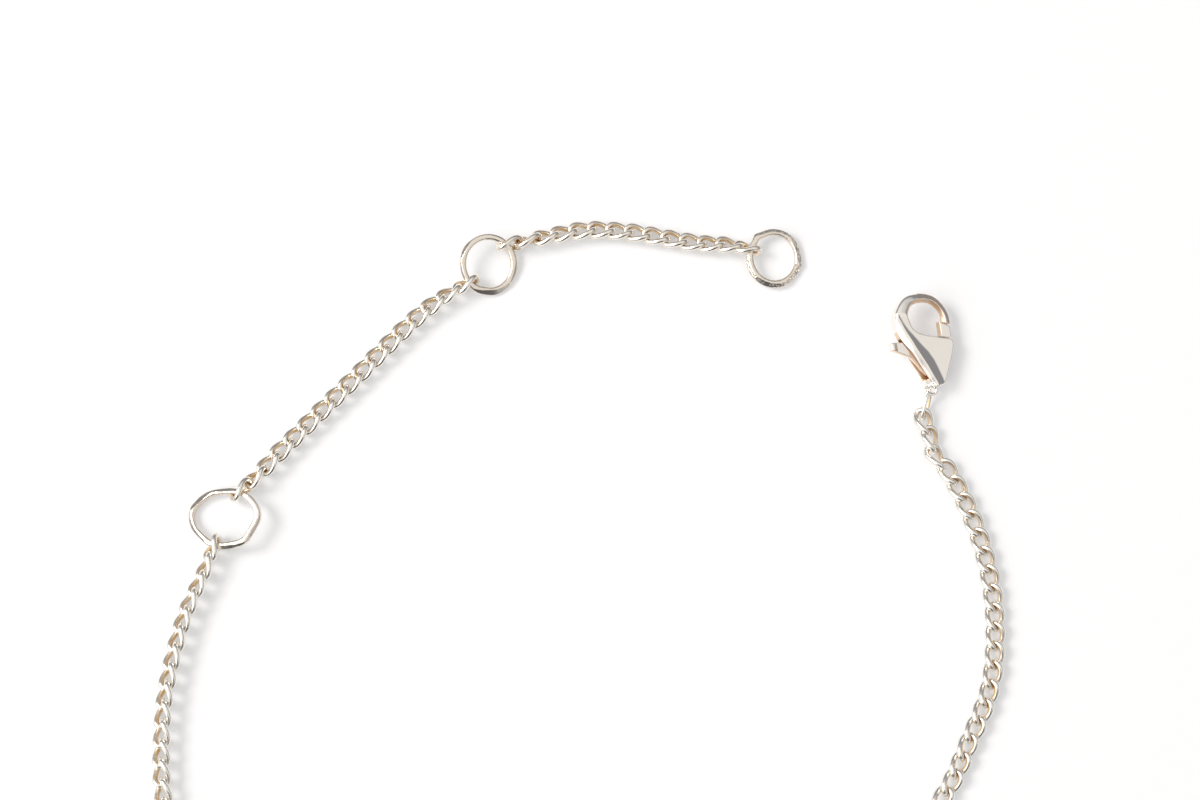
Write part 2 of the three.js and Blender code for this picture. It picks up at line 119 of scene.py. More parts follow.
# clean: the bare metal. The other colour is the warm film that stays where nothing rubs, and it also paints
# shade onto the faces that look inward. The sizes are in millimetres.
# Drawn sterling wire, tumbled bright: soft highlights, and a warm film inside each link, with painted shade
# there too.
drawnWire = {"clean": "#FAF8F2", "filmAndShadeColour": "#D8AE6A", "filmAndShadeStrength": 0.9, "cloudSize": 0.9,
             "grainSize": 0.12, "smooth": 0.1, "rubbed": 0.2, "bump": 0.2, "bumpDepth": 0.01,
             "filmDulls": 0.3}
# The main run rubs on the wrist, so the same wire is a little duller there: softer, paler reflections.
wornWire = {**drawnWire, "smooth": 0.2, "rubbed": 0.32}
# Hand-made rings, hammered and filed: wavier light, a little duller.
workedRing = {"clean": "#F8F2E8", "filmAndShadeColour": "#B79468", "filmAndShadeStrength": 0.5, "cloudSize": 0.7,
              "grainSize": 0.16, "smooth": 0.1, "rubbed": 0.24, "bump": 0.4, "bumpDepth": 0.02,
              "filmDulls": 0.2, "filmAllOver": 0.45}
# Cast sterling, machine polished: broad clear reflections, a golden film inside the slot, with painted shade
# there too.
castClasp = {"clean": "#FCF8F2", "filmAndShadeColour": "#E0AC6C", "filmAndShadeStrength": 0.85, "cloudSize": 1.2,
             "grainSize": 0.2, "smooth": 0.08, "rubbed": 0.16, "bump": 0.12, "bumpDepth": 0.01,
             "filmDulls": 0.45}

wireSilver = makeSilver("tumbled_drawn_silver_wire", drawnWire)
wornSilver = makeSilver("rubbed_drawn_silver_wire", wornWire)
ringSilver = makeSilver("hammered_silver_ring", workedRing)
claspSilver = makeSilver("polished_cast_silver", castClasp)
print("materials made")


def meshFrom(name, points, faces):
    mesh = bpy.data.meshes.new(name)
    mesh.from_pydata([tuple(p) for p in points], [], faces)
    mesh.validate()
    return mesh


def skinMesh(name, sections, closed):
    # a skin over rings of points, with ends if it is open
    sides = len(sections[0])
    count = len(sections)
    faces = []
    for i in range(count if closed else count - 1):
        here, after = i * sides, (i + 1) % count * sides
        faces += [(here + k, here + (k + 1) % sides, after + (k + 1) % sides, after + k)
                  for k in range(sides)]
    if not closed:
        faces.append(tuple(range(sides))[::-1])
        faces.append(tuple((count - 1) * sides + k for k in range(sides)))
    mesh = meshFrom(name, [p for section in sections for p in section], faces)
    turnOutward(mesh)
    return mesh


def turnOutward(mesh):
    shell = bmesh.new()
    shell.from_mesh(mesh)
    bmesh.ops.recalc_face_normals(shell, faces=shell.faces)
    shell.to_mesh(mesh)
    shell.free()


def linked(name, mesh):
    thing = bpy.data.objects.new(name, mesh)
    bpy.context.scene.collection.objects.link(thing)
    return thing


def bakedMesh(thing, name):
    # the mesh as its modifiers leave it, without the object
    graph = bpy.context.evaluated_depsgraph_get()
    mesh = bpy.data.meshes.new_from_object(thing.evaluated_get(graph))
    mesh.name = name
    bpy.data.objects.remove(thing)
    return mesh


def finishPiece(name, mesh, material, body, *nodes):
    # a piece's mesh goes to metres, and it takes the place of its CAD nodes
    mesh.transform(Matrix.Scale(millimetre, 4))
    mesh.materials.clear()
    mesh.materials.append(material)
    mesh.shade_smooth()
    thing = linked(name, mesh)
    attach(thing, body)
    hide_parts(*nodes)
    return thing


def setFilmAndShade(mesh, shareAt):
    # how much warm film and painted shade each point takes, from 0 to 1: the film stays where nothing rubs,
    # and faces that look inward are painted darker as if in shade
    film_and_shade = mesh.attributes.get("film_and_shade") or mesh.attributes.new("film_and_shade", "FLOAT", "POINT")
    for vertex in mesh.vertices:
        film_and_shade.data[vertex.index].value = shareAt(vertex.co, vertex.normal)


# fullness: 2 is an oval, more goes towards a box. endTwist: how far a link's ends are twisted, in degrees.
# wobble: how unevenly the links lie, in degrees. lift: how far they clear the table.
# filmAndShadeFrom and filmAndShadeFull: how far a spot of wire looks inward where the warm film and painted
# shade start and where they are full.
# heightSteps: places round a link where its height is tried.
link = {"halfLength": 1.035, "halfWidth": 0.645, "fullness": 2.5, "endTwist": -46, "wireRadius": 0.242,
        "wireSteps": 40, "wireSides": 12, "outlineSteps": 96, "heightSteps": 72, "pitch": 1.575,
        "wobble": 1.5, "headingSeed": 7, "lift": 0.022, "filmAndShadeFrom": 0.1, "filmAndShadeFull": -0.5}


def superCosine(angle):
    cosine = math.cos(angle)
    return math.copysign(abs(cosine) ** (2 / link["fullness"]), cosine)


def restHeight(roll):
    # the height of a rolled link's middle when its lowest wire touches the table
    reach = 0
    for i in range(link["heightSteps"]):
        angle = 2 * math.pi * i / link["heightSteps"]
        across = link["halfWidth"] * superCosine(angle - math.pi / 2)
        twist = math.radians(link["endTwist"]) * superCosine(angle)
        steep = math.cos(twist) * math.sin(roll) + math.sin(twist) * math.cos(roll)
        reach = max(reach, abs(across * steep))
    return reach + link["wireRadius"]


# A link that holds a ring stands almost on edge. The last one hangs in the jump ring.
ringRoll = {"start": 71, "end": 109, "last": 19}
heldHeight = restHeight(math.radians(ringRoll["start"])) + restMargin

# wide, tall: the wire's section. leanAxis: the direction of the line it leans about, in degrees.
# dents and heavy: (direction, spread, size) of the bends and of the thicker stretches.
# flats: (direction, spread, depth, lean) of the filed flats along the edges.
# lean: how far from level a flat lies once the ring is in place, in degrees.
# lumps: how rough the hammering is, and its size. pits: how much rougher a flat is.
endRing = {
    "x": 16.2, "y": 28.2, "radiusX": 2.03, "radiusY": 2.18, "wide": 0.56, "tall": 0.58, "leanAxis": 71,
    "chains": 1,
    "dents": [(130, 9, 0.08), (-14, 6, 0.03)], "lumps": 0.014, "lumpSize": 0.17, "square": 3.0, "pits": 1.6,
    "heavy": [(-90, 60, 0.12), (-14, 5, 0.07), (131, 7, 0.08), (200, 42, 0.1)],
    "flats": [(-105, 55, 0.22, 38), (-45, 36, 0.2, 38), (18, 36, 0.2, 37), (95, 60, 0.15, 32),
              (208, 44, 0.2, 41)],
}
middleRing = {
    "x": -7.75, "y": 27.6, "radiusX": 2.14, "radiusY": 2.27, "wide": 0.54, "tall": 0.52, "leanAxis": 46,
    "chains": 2,
    "dents": [(-95, 16, -0.1)], "lumps": 0.006, "lumpSize": 0.6, "square": 2.6, "pits": 0.5,
    "heavy": [(-90, 40, 0.16), (150, 18, 0.06), (0, 60, 0.05)],
    "flats": [(-80, 40, 0.2, 37), (150, 26, 0.18, 33), (70, 60, 0.1, 31), (-15, 40, 0.1, 36),
              (205, 40, 0.14, 41)],
}
thirdRing = {
    "x": -29.3, "y": 6.2, "radiusX": 2.76, "radiusY": 2.3, "wide": 0.5, "tall": 0.6, "leanAxis": 246,
    "chains": 2,
    "dents": [(168, 16, 0.14), (95, 22, -0.1), (-50, 14, 0.12), (-22, 12, -0.06), (218, 20, -0.14),
              (8, 12, 0.06)],
    "lumps": 0.008, "lumpSize": 0.45, "square": 3.6, "pits": 0.6,
    "heavy": [(-80, 45, 0.16), (0, 40, 0.08), (140, 20, 0.06)],
    "flats": [(-85, 36, 0.22, 39), (-25, 30, 0.17, 37), (144, 26, 0.18, 33), (85, 45, 0.12, 31),
              (195, 50, 0.15, 41)],
}
ringMesh = {"steps": 220, "sides": 36}
hammer = {"fade": 0.8, "finer": 2.0, "layers": 2}  # how each finer layer of marks follows the one before
# Where on its ring each chain holds, in degrees.
holds = {"end": 161, "middleRight": 47, "middleLeft": 225, "thirdTop": 61, "thirdBottom": 250}


def bumpSum(bumps, angle):
    # the sum of smooth bumps, each given by its direction and spread in degrees and its size
    total = 0
    for direction, spread, size, *_ in bumps:
        away = (math.degrees(angle) - direction + 180) % 360 - 180
        total += size * math.exp(-((away / spread) ** 2))
    return total


def ringRadius(ring, angle):
    across = math.hypot(ring["radiusY"] * math.cos(angle), ring["radiusX"] * math.sin(angle))
    radius = ring["radiusX"] * ring["radiusY"] / across
    return radius + bumpSum(ring["dents"], angle)


def ringDrop(ring):
    # how far the ring's low edge lies under the links that hold it
    return heldHeight - ring["tall"] / 2 - restMargin


def ringLean(ring):
    return math.asin(ring["chains"] * ringDrop(ring) / (2 * ring["radiusX"]))


def ringPlace(ring):
    axis = Vector((math.cos(math.radians(ring["leanAxis"])), math.sin(math.radians(ring["leanAxis"])), 0))
    height = heldHeight - (2 - ring["chains"]) * ringDrop(ring) / 2
    return Matrix.Translation((ring["x"], ring["y"], height)) @ Matrix.Rotation(ringLean(ring), 4, axis)


def ringPoint(ring, angle):
    turn = math.radians(angle)
    reach = ringRadius(ring, turn)
    return ringPlace(ring) @ Vector((reach * math.cos(turn), reach * math.sin(turn), 0))


def roundedSection(angle, square):
    # a point of a rounded square section, from -1 to 1 each way
    cosine, sine = math.cos(angle), math.sin(angle)
    power = 2 / square
    return (math.copysign(abs(cosine) ** power, cosine), math.copysign(abs(sine) ** power, sine))


def makeRing(name, ring, node):
    sections = []
    facing = ring["leanAxis"] - 90  # the way the ring's upper side leans
    leans = [math.radians(lean) - ringLean(ring) * math.cos(math.radians(direction - facing))
             for direction, spread, depth, lean in ring["flats"]]
    for i in range(ringMesh["steps"]):
        angle = 2 * math.pi * i / ringMesh["steps"]
        outward = Vector((math.cos(angle), math.sin(angle), 0))
        wide = ring["wide"] + bumpSum(ring["heavy"], angle)
        middle = outward * (ringRadius(ring, angle) + (wide - ring["wide"]) / 2)
        section = []
        for k in range(ringMesh["sides"]):
            out, up = roundedSection(2 * math.pi * k / ringMesh["sides"], ring["square"])
            out, up = out * wide / 2, up * ring["tall"] / 2
            # the filed flats on the outer edges
            filed = 0
            for flat, lean in zip(ring["flats"], leans):
                flatOut, flatUp = math.sin(lean), math.cos(lean)
                limit = wide / 2 * flatOut + ring["tall"] / 2 * flatUp - bumpSum([flat], angle)
                past = max(0, out * flatOut + abs(up) * flatUp - limit)
                out, up = out - past * flatOut, up - math.copysign(past * flatUp, up)
                filed += past
            offset = outward * out + Vector((0, 0, up))
            spot = middle + offset
            # hammer marks only take metal away
            mark = noise.fractal(spot / ring["lumpSize"], hammer["fade"], hammer["finer"], hammer["layers"])
            rough = ring["lumps"] * (1 + (ring["pits"] if filed > 0 else 0))
            section.append(spot - offset.normalized() * rough * (1 + mark))
        sections.append(section)
    mesh = skinMesh(name, sections, True)

    # faces that look to the ring's middle take the warm film and a painted shade; the whole ring keeps some
    # film
    def inside(spot, normal):
        towards = -Vector((spot.x, spot.y, 0)).normalized()
        return max(workedRing["filmAllOver"], normal.dot(towards))

    setFilmAndShade(mesh, inside)
    mesh.transform(ringPlace(ring))
    return finishPiece(name, mesh, ringSilver, "bracelet", node)


makeRing("end_ring_hammered", endRing, "end_ring")
makeRing("middle_ring_smooth", middleRing, "middle_ring")
makeRing("third_ring_dented", thirdRing, "third_ring")
print("rings made")


# In the clasp's own flat frame x is u, towards the gate side, y is v, from tail to hook, and z is up.
clasp = {"turn": 8.3, "lean": 15, "dip": 6, "thickness": 2.0, "leverThickness": 0.6,
         "pivotU": 0.6, "pivotV": 2.6, "gateReach": 2.95, "pinRadius": 0.3, "pinLength": 1.2,
         "eyeletRadius": 0.44, "eyeletWire": 0.17, "eyeletU": 0.02, "eyeletV": -0.17, "eyeletLong": 0.5,
         "eyeletShort": 0.37, "eyeletBar": 0.16, "cheekOverlap": 0.2, "cornerCut": 0.2}
slot = {"width": 0.75, "bottom": 0.8, "spineTop": 4.35, "spineU": -0.85, "top": 4.95, "topU": -0.25,
        "beyond": 4}
# How finely its pieces are made: the sizes of their grain, how often and how far an edge is eased, and how
# many steps each curve has.
claspGrain = {"voxel": 0.036, "skin": 0.042, "lever": 0.03, "relax": 4, "hookRelax": 1, "ease": 0.5,
              "cornerPasses": 2, "crestSteps": 30, "hookSteps": 8, "hookSides": 40, "pinSides": 32,
              "sweepSteps": 24, "gateSteps": 10}
wireMesh = {"eyelet": 40, "jumpRing": 64, "sides": 14}  # steps along and round the thin wires

# The cheeks' outlines: u, v.
lowerCheek = [(-0.3, 0.25), (-0.66, 1.3), (-1.22, 2.35), (-1.85, 3.7), (-2.3, 4.9), (-2.3, 5.5),
              (-1.25, 5.5), (-1.05, 5.1), (-0.65, 4.68), (0.1, 4.38), (1.3, 4.08), (2.42, 3.85),
              (2.36, 3.2), (2.0, 2.2), (1.5, 1.1), (1.0, 0.25)]
upperCheek = [(0.2, 0.0), (-0.06, 0.51), (-0.48, 1.41), (-0.92, 2.25), (-1.31, 2.99), (-1.7, 3.6),
              (-2.2, 4.4), (-2.42, 5.0), *lowerCheek[5:-1], (1.1, 0.2)]
# The crest that runs from the tail up onto the hook: u, v, its height, the level beside it, and the width of
# the slope between the two.
crestLine = [(0.44, -0.3, 0.94, 0.66, 0.6), (0.34, 0.32, 0.94, 0.66, 0.68),
             (0.06, 0.95, 0.94, 0.66, 0.78), (-0.35, 1.91, 0.94, 0.66, 0.86),
             (-0.74, 2.68, 0.93, 0.66, 0.84), (-1.07, 3.38, 0.92, 0.68, 0.64),
             (-1.39, 4.14, 0.86, 0.7, 0.46), (-1.72, 4.85, 0.78, 0.69, 0.31),
             (-1.99, 5.6, 0.7, 0.65, 0.2), (-2.21, 6.41, 0.67, 0.62, 0.13),
             (-2.17, 7.3, 0.6, 0.6, 0.1)]
crestFall = {"start": 0.52, "growth": 0.3, "slope": 1.12}  # how the outer side rounds away from the crest
# Where the crest lets go of the hook: past freeV the part with u over freeU has its own section.
crestEnd = {"freeU": -0.9, "freeV": 6.0, "fadeFrom": 6.1, "fadeTo": 7.6, "fade": 0.5, "least": 0.2}
# The hook's bar: u, v, wide, thick, how square its section is, where its crest lies across it, how keen that
# is, and how high the outer side still stands near its edge.
hookPath = [(-1.1, 3.5, 1.0, 1.6, 3.4, 0.0, 0.0, 0.5), (-1.5, 4.5, 1.35, 1.86, 3.4, 0.0, 0.0, 0.5),
            (-1.75, 5.4, 1.32, 1.76, 3.6, 0.0, 0.0, 0.5), (-1.75, 6.4, 1.2, 1.38, 3.6, 0.0, 0.0, 0.5),
            (-1.13, 7.3, 1.0, 1.16, 3.2, -0.1, 0.0, 0.5), (-0.6, 7.54, 0.92, 1.06, 2.8, -0.3, 0.1, 0.5),
            (0.0, 7.6, 0.82, 0.98, 2.4, -0.35, 0.9, 0.45), (1.12, 7.35, 0.73, 0.87, 2.2, -0.35, 1.0, 0.55),
            (1.83, 6.65, 0.7, 0.81, 2.2, -0.35, 1.0, 0.66), (2.15, 5.9, 0.72, 0.81, 2.2, -0.3, 1.0, 0.7),
            (2.2, 5.1, 0.84, 0.84, 2.4, -0.2, 0.6, 0.68)]
# How far from its crest a keen bar slopes, how full it is, and how high its inner side still stands.
barEdge = {"reach": 0.85, "fill": 1.15, "innerStand": 0.25}
leverOutline = [(1.5, 4.4), (0.9, 3.7), (-0.4, 3.8), (-1.5, 4.06), (-2.3, 4.12), (-3.08, 4.1),
                (-2.98, 3.5), (-2.1, 3.1), (-1.42, 2.72), (-0.98, 2.1), (-0.64, 1.55), (-0.3, 1.12),
                (0.2, 1.02), (0.8, 1.25), (1.4, 2.0), (1.9, 3.0), (2.4, 3.9)]
# The gate at the lever's end: the arc it sweeps through the hook, and the step where its head sits on the
# cheeks.
gate = {"innerU": 1.5, "outerU": 2.42, "sweepFrom": 20, "sweepTo": 80, "seatU": 1.3, "seatV": 4.13,
        "seatSlope": -0.2, "seatStep": 0.08, "headFrom": 1.1, "headTo": 1.35}
leverShape = {"clearance": 0.02, "edge": 0.1, "edgeSteps": 3, "tabFrom": -2.5, "tabTo": -2.8,
              "thicker": 0.45}
cutDepth = 4  # deep enough to cut through the whole clasp
# Where the warm film and painted shade go, and how much: in the slot, inside the hook, and on the hook's thin
# tip, where it also paints a darker reflection.
claspFilmAndShade = {"slot": 1.0, "slotEdge": 0.05, "slotBelow": 0.1, "hook": 0.9, "hookFrom": 4.5,
             "hookMiddle": (0.15, 6.0, 0), "hookFacing": 0.35, "tip": 0.45, "tipU": 0.0, "bare": 0.02}
# On the lever the film and a painted shade go between the cheeks and on the sides that face the slot's edge.
leverFilmAndShade = {"kept": 0.8, "bare": 0.05, "cheekU": -1.6, "cheekV": 3.9, "facing": -0.6}

pivot = Vector(frame["joints"][0]["pos_m"]) / millimetre
claspTurn = (Matrix.Rotation(math.radians(clasp["turn"]), 4, "Z")
             @ Matrix.Rotation(math.radians(clasp["dip"]), 4, "X")
             @ Matrix.Rotation(math.radians(clasp["lean"]), 4, "Y"))
claspPlace = Matrix.Translation(pivot - claspTurn @ Vector((clasp["pivotU"], clasp["pivotV"], 0))) @ claspTurn


def smoothPath(rows, perSpan):
    # a centripetal spline through rows whose first two values are a place, the others change evenly
    ends = [[2 * a - b for a, b in zip(rows[0], rows[1])], *rows,
            [2 * a - b for a, b in zip(rows[-1], rows[-2])]]
    path = []
    for i in range(1, len(ends) - 2):
        p0, p1, p2, p3 = ends[i - 1:i + 3]
        d0, d1, d2 = [math.dist(a[:2], b[:2]) ** 0.5 for a, b in ((p0, p1), (p1, p2), (p2, p3))]
        last = i == len(ends) - 3
        for j in range(perSpan + last):
            t = j / perSpan
            row = []
            for k in range(2):
                m1 = ((p1[k] - p0[k]) / d0 - (p2[k] - p0[k]) / (d0 + d1) + (p2[k] - p1[k]) / d1) * d1
                m2 = ((p2[k] - p1[k]) / d1 - (p3[k] - p1[k]) / (d1 + d2) + (p3[k] - p2[k]) / d2) * d1
                row.append(p1[k] + m1 * t + (3 * (p2[k] - p1[k]) - 2 * m1 - m2) * t * t
                           + (2 * (p1[k] - p2[k]) + m1 + m2) * t ** 3)
            row += [a + (b - a) * t for a, b in zip(p1[2:], p2[2:])]
            path.append(row)
    return path


def roundCorners(outline, passes):
    near = clasp["cornerCut"]
    far = 1 - near
    for _ in range(passes):
        cut = []
        for (u0, v0), (u1, v1) in zip(outline, outline[1:] + outline[:1]):
            cut += [(u0 * far + u1 * near, v0 * far + v1 * near),
                    (u0 * near + u1 * far, v0 * near + v1 * far)]
        outline = cut
    return outline


def plateMesh(name, outline, thickness, bevel=0.0, segments=1):
    # a flat plate about z = 0, with rounded edges if it has a bevel
    plate = bmesh.new()
    low = [plate.verts.new((u, v, -thickness / 2)) for u, v in outline]
    high = [plate.verts.new((u, v, thickness / 2)) for u, v in outline]
    plate.faces.new(low[::-1])
    plate.faces.new(high)
    for k in range(len(outline)):
        after = (k + 1) % len(outline)
        plate.faces.new((low[k], low[after], high[after], high[k]))
    bmesh.ops.recalc_face_normals(plate, faces=plate.faces)
    if bevel:
        rims = [e for e in plate.edges if abs(e.verts[0].co.z - e.verts[1].co.z) < 1e-6]
        bmesh.ops.bevel(plate, geom=rims, offset=bevel, segments=segments, profile=0.5, affect="EDGES",
                        clamp_overlap=True)
    mesh = bpy.data.meshes.new(name)
    plate.to_mesh(mesh)
    plate.free()
    return mesh


def capHeight(spot, path):
    # the height of the clasp's upper side over a place, from the crest nearest to it
    nearest = min(path, key=lambda row: (row[0] - spot.x) ** 2 + (row[1] - spot.y) ** 2)
    u, v, high, level, width, alongU, alongV = nearest
    away = (spot.x - u) * -alongV + (spot.y - v) * alongU  # to the right of the crest, seen from the tail
    if away < 0:
        return high + crestFall["start"] * away - crestFall["growth"] * away * away
    share = max(0, 1 - away / width)
    return level + (high - level) * share ** crestFall["slope"]


def capMesh(mesh):
    rows = smoothPath(crestLine, claspGrain["crestSteps"])
    path = []
    for before, row, after in zip([rows[0], *rows], rows, [*rows[1:], rows[-1]]):
        along = Vector((after[0] - before[0], after[1] - before[1])).normalized()
        path.append((*row, -along.x, -along.y))
    for vertex in mesh.vertices:
        spot = vertex.co
        if spot.y > crestEnd["freeV"] and spot.x > crestEnd["freeU"]:
            continue
        cap = capHeight(spot, path)
        cap += crestEnd["fade"] * smoothStep(crestEnd["fadeFrom"], crestEnd["fadeTo"], spot.y)
        spot.z = math.copysign(min(abs(spot.z), max(cap, crestEnd["least"])), spot.z)


def joined(name, meshes):
    whole = bmesh.new()
    for mesh in meshes:
        whole.from_mesh(mesh)
    mesh = bpy.data.meshes.new(name)
    whole.to_mesh(mesh)
    whole.free()
    return mesh


def barSection(angle, square, crest, keen, outerStand):
    # a point of the bar's section, out from -1 to 1 and up from -1 to 1
    out, up = roundedSection(angle, square)
    if out > crest:
        slope = 1 - (1 - outerStand) * (out - crest) / (barEdge["reach"] - crest)
    else:
        slope = 1 - (1 - barEdge["innerStand"]) * (crest - out) / (barEdge["reach"] + crest)
    sharp = math.copysign(min(abs(up) * barEdge["fill"], max(slope, 0)), up)
    return out, up + (sharp - up) * keen


def hookMesh():
    sides = claspGrain["hookSides"]
    path = smoothPath(hookPath, claspGrain["hookSteps"])
    sections = []
    for i, (u, v, wide, thick, square, crest, keen, outerStand) in enumerate(path):
        before, after = path[max(i - 1, 0)], path[min(i + 1, len(path) - 1)]
        along = Vector((after[0] - before[0], after[1] - before[1], 0)).normalized()
        outward = Vector((-along.y, along.x, 0))
        section = []
        for k in range(sides):
            out, up = barSection(2 * math.pi * k / sides, square, crest, keen, outerStand)
            section.append(Vector((u, v, 0)) + outward * (out * wide / 2) + Vector((0, 0, up * thick / 2)))
        sections.append(section)
    return skinMesh("hook", sections, False)


def wireSection(middle, outward, sideways, radius):
    # a ring of points round a wire's middle
    angles = [2 * math.pi * k / wireMesh["sides"] for k in range(wireMesh["sides"])]
    return [middle + (outward * math.cos(a) + sideways * math.sin(a)) * radius for a in angles]


def eyeletMesh():
    sections = []
    for i in range(wireMesh["eyelet"]):
        turn = 2 * math.pi * i / wireMesh["eyelet"]
        outward = Vector((math.cos(turn), math.sin(turn), 0))
        middle = Vector((clasp["eyeletU"] + clasp["eyeletLong"] * math.cos(turn),
                         clasp["eyeletV"] + clasp["eyeletShort"] * math.sin(turn), 0))
        sections.append(wireSection(middle, outward, Vector((0, 0, 1)), clasp["eyeletBar"]))
    return skinMesh("eyelet", sections, True)


def arcPoints(radius, fromAngle, toAngle, count):
    return [(clasp["pivotU"] + radius * math.cos(fromAngle + (toAngle - fromAngle) * i / count),
             clasp["pivotV"] + radius * math.sin(fromAngle + (toAngle - fromAngle) * i / count))
            for i in range(count + 1)]


def smoothStep(low, high, value):
    t = max(0, min(1, (value - low) / (high - low)))
    return t * t * (3 - 2 * t)


def roundBar(name, radius, length):
    ring = arcPoints(radius, 0, 2 * math.pi, claspGrain["pinSides"])[:-1]
    return plateMesh(name, ring, length)


def carve(mesh, cutters):
    body = linked("body_to_carve", mesh)
    tools = []
    for cutter in cutters:
        tool = linked("tool", cutter)
        tools.append(tool)
        cut = body.modifiers.new("cut", "BOOLEAN")
        cut.operation = "DIFFERENCE"
        cut.solver = "MANIFOLD"
        cut.object = tool
    carved = bakedMesh(body, "carved")
    for tool in tools:
        bpy.data.objects.remove(tool)
    return carved


def blended(mesh, voxel, relax):
    # one even skin over all the solids, with every edge softened a little
    body = linked("body_to_blend", mesh)
    skin = body.modifiers.new("skin", "REMESH")
    skin.mode = "VOXEL"
    skin.voxel_size = voxel
    ease = body.modifiers.new("ease", "SMOOTH")
    ease.factor = claspGrain["ease"]
    ease.iterations = relax
    return bakedMesh(body, "blended")


def makeClaspBody():
    sweepFrom, sweepTo = math.radians(gate["sweepFrom"]), math.radians(gate["sweepTo"])
    sweep = [(clasp["pivotU"], clasp["pivotV"]),
             *arcPoints(clasp["gateReach"] + looseGap, sweepFrom, sweepTo, claspGrain["sweepSteps"])]
    hook = carve(blended(hookMesh(), claspGrain["voxel"], claspGrain["hookRelax"]),
                 [plateMesh("gate_sweep", sweep, cutDepth)])
    cheeks = []
    for outline, side in ((lowerCheek, -1), (upperCheek, 1)):
        cheek = plateMesh("cheek", roundCorners(outline, claspGrain["cornerPasses"]),
                          clasp["thickness"] / 2 + clasp["cheekOverlap"])
        cheek.transform(Matrix.Translation((0, 0, side * clasp["thickness"] / 4)))
        cheeks.append(cheek)
    whole = blended(joined("clasp_solids", [*cheeks, hook]), claspGrain["voxel"], 0)
    capMesh(whole)
    far = slot["beyond"]
    slotOutline = [(-far, slot["bottom"]), (far, slot["bottom"]), (far, slot["top"]),
                   (slot["topU"], slot["top"]), (slot["spineU"], slot["spineTop"]), (-far, slot["spineTop"])]
    slotted = carve(whole, [plateMesh("slot", slotOutline, slot["width"]),
                            roundBar("pin_hole", clasp["pinRadius"], clasp["pinLength"])])
    mesh = blended(joined("clasp_whole", [slotted, eyeletMesh()]), claspGrain["skin"], claspGrain["relax"])

    # the slot and the hook's inner faces get warm film and painted shade; the hook's tip gets a painted
    # darker reflection too
    def filmAndShadeAt(spot, normal):
        inSlot = slot["bottom"] - claspFilmAndShade["slotBelow"] < spot.y < slot["top"]
        if inSlot and abs(spot.z) < slot["width"] / 2 + claspFilmAndShade["slotEdge"]:
            return claspFilmAndShade["slot"]
        onHook = spot.y > claspFilmAndShade["hookFrom"]
        towards = Vector(claspFilmAndShade["hookMiddle"]) - Vector((spot.x, spot.y, 0))
        if onHook and normal.dot(towards.normalized()) > claspFilmAndShade["hookFacing"]:
            return claspFilmAndShade["hook"]
        return claspFilmAndShade["tip"] if onHook and spot.x > claspFilmAndShade["tipU"] else claspFilmAndShade["bare"]

    setFilmAndShade(mesh, filmAndShadeAt)
    mesh.transform(claspPlace)
    return finishPiece("clasp_hook_and_cheeks", mesh, claspSilver, "bracelet", "clasp_body")


def makeLever():
    reach = clasp["gateReach"]
    angles = [math.acos((gate[side] - clasp["pivotU"]) / reach) for side in ("outerU", "innerU")]
    outline = [*arcPoints(reach, *angles, claspGrain["gateSteps"]), *leverOutline]
    plate = plateMesh("lever", outline, clasp["leverThickness"] - leverShape["clearance"], leverShape["edge"],
                      leverShape["edgeSteps"])
    plate = carve(plate, [roundBar("pin_hole", clasp["pinRadius"] + looseGap, cutDepth)])
    mesh = blended(plate, claspGrain["lever"], claspGrain["relax"])
    for vertex in mesh.vertices:
        # the gate's head and the thumb tab are thicker than the part between the cheeks
        spot = vertex.co
        above = spot.y - gate["seatV"] - gate["seatSlope"] * (spot.x - gate["seatU"])
        headShare = smoothStep(0, gate["seatStep"], above)
        headShare *= smoothStep(gate["headFrom"], gate["headTo"], spot.x)
        tabShare = smoothStep(leverShape["tabFrom"], leverShape["tabTo"], spot.x)
        spot.z *= 1 + leverShape["thicker"] * max(headShare, tabShare)

    # the lever between the cheeks and its sides facing the slot's edge take warm film and painted shade
    def inside(spot, normal):
        between = spot.x > leverFilmAndShade["cheekU"] and spot.y < leverFilmAndShade["cheekV"]
        edge = (normal.x if spot.x > 0 else normal.y) < leverFilmAndShade["facing"]
        return leverFilmAndShade["kept"] if between or edge else leverFilmAndShade["bare"]

    setFilmAndShade(mesh, inside)
    mesh.transform(claspPlace)
    return finishPiece("clasp_lever_and_gate", mesh, claspSilver, "lever", "clasp_lever")


makeClaspBody()
makeLever()
frame["nodes"]["lever_pin"].data.materials.clear()
frame["nodes"]["lever_pin"].data.materials.append(claspSilver)
print("clasp made")


# A long wire ring that leans by tilt. chainX and chainY: where the last link ends. holdTurn: where on the
# eyelet it holds, in degrees.
jump = {"halfLength": 1.2, "halfHeight": 0.5, "wire": 0.145, "chainX": 28.52, "chainY": 14.9, "holdTurn": 235,
        "tilt": 22}

holdTurn = math.radians(jump["holdTurn"])
eyeletPoint = claspPlace @ Vector((clasp["eyeletU"] + clasp["eyeletRadius"] * math.cos(holdTurn),
                                   clasp["eyeletV"] + clasp["eyeletRadius"] * math.sin(holdTurn), 0))
chainEnd = Vector((jump["chainX"], jump["chainY"], restHeight(math.radians(ringRoll["last"]))))
jumpLine = (chainEnd - eyeletPoint).normalized()
jumpMiddle = eyeletPoint + jumpLine * (jump["halfLength"] - jump["wire"] - clasp["eyeletWire"] - looseGap)
jumpSide = Vector((0, 0, 1)).cross(jumpLine).normalized()
jumpUp = jumpLine.cross(jumpSide)
jumpTilt = Matrix.Rotation(math.radians(jump["tilt"]), 3, jumpLine)
jumpUp, jumpSide = jumpTilt @ jumpUp, jumpTilt @ jumpSide


